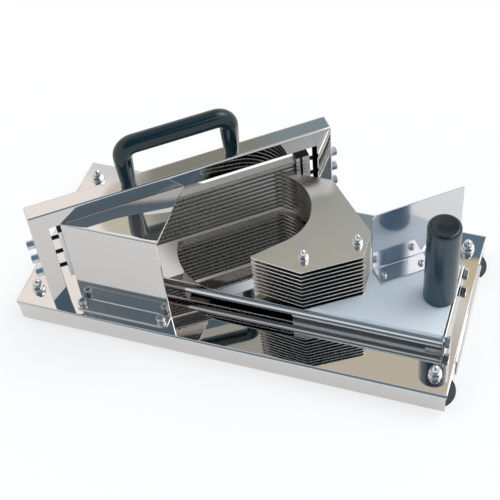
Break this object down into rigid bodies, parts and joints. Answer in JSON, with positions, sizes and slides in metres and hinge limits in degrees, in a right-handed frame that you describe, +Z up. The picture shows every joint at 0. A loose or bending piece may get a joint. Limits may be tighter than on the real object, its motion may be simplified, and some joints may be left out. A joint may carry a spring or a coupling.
{
  "type": "tomato slicer",
  "caption": "Push-slide slicer: a carriage with notched pusher plates runs on rods through a slanted frame of tensioned blades on a folded steel base with suction feet.",
  "frame": {"origin": "middle of the footprint's bounding box, at the feet's contact plane", "axes": "+X along the base towards the grip, +Y to the back, +Z up"},
  "size_m": [0.44, 0.2018, 0.2061],
  "materials": {
    "polished_steel": "mirror polished",
    "satin_steel": "satin",
    "blade_steel": "ground",
    "fastener_steel": "polished",
    "white_plastic": "matt",
    "black_plastic": "gloss",
    "slate_plastic": "semi-gloss",
    "rubber": "matt"
  },
  "bodies": {
    "base": {"base_tray": "polished_steel", "foot_front_left": "rubber", "foot_nut_front_left": "fastener_steel", "foot_front_right": "rubber", "foot_nut_front_right": "fastener_steel", "foot_back_left": "rubber", "foot_nut_back_left": "fastener_steel", "foot_back_right": "rubber", "foot_nut_back_right": "fastener_steel", "blade_frame": "polished_steel", "blade_holder_left": "fastener_steel", "blade_holder_right": "fastener_steel", "blade_01": "blade_steel", "blade_02": "blade_steel", "blade_03": "blade_steel", "blade_04": "blade_steel", "blade_05": "blade_steel", "blade_06": "blade_steel", "blade_07": "blade_steel", "blade_08": "blade_steel", "blade_09": "blade_steel", "blade_10": "blade_steel", "blade_11": "blade_steel", "tension_screw_left_1": "fastener_steel", "tension_screw_left_2": "fastener_steel", "tension_screw_left_3": "fastener_steel", "tension_screw_right_1": "fastener_steel", "tension_screw_right_2": "fastener_steel", "tension_screw_right_3": "fastener_steel", "top_handle": "black_plastic", "front_guard": "polished_steel", "guard_screw_left": "fastener_steel", "guard_screw_right": "fastener_steel", "rod_bracket_left": "polished_steel", "rod_bracket_right": "polished_steel", "rod_front": "polished_steel", "rod_back": "polished_steel", "rod_bolt_left_front": "fastener_steel", "rod_bolt_left_back": "fastener_steel", "rod_bolt_right_front": "fastener_steel", "rod_bolt_right_back": "fastener_steel"},
    "carriage": {"slide_board": "white_plastic", "bed_plate": "polished_steel", "pusher_plate_01": "satin_steel", "pusher_plate_02": "satin_steel", "pusher_plate_03": "satin_steel", "pusher_plate_04": "satin_steel", "pusher_plate_05": "satin_steel", "pusher_plate_06": "satin_steel", "pusher_plate_07": "satin_steel", "pusher_plate_08": "satin_steel", "pusher_plate_09": "satin_steel", "pusher_plate_10": "satin_steel", "stack_bolt_front": "fastener_steel", "stack_bolt_back": "fastener_steel", "hand_guard": "polished_steel", "hand_guard_screw_left": "fastener_steel", "hand_guard_screw_right": "fastener_steel", "grip": "slate_plastic", "grip_screw": "fastener_steel"}
  },
  "joints": [
    {"name": "carriage_slide", "type": "slide", "parent": "base", "child": "carriage", "axis": [-1, 0, 0], "range_m": [0, 0.16]}
  ]
}
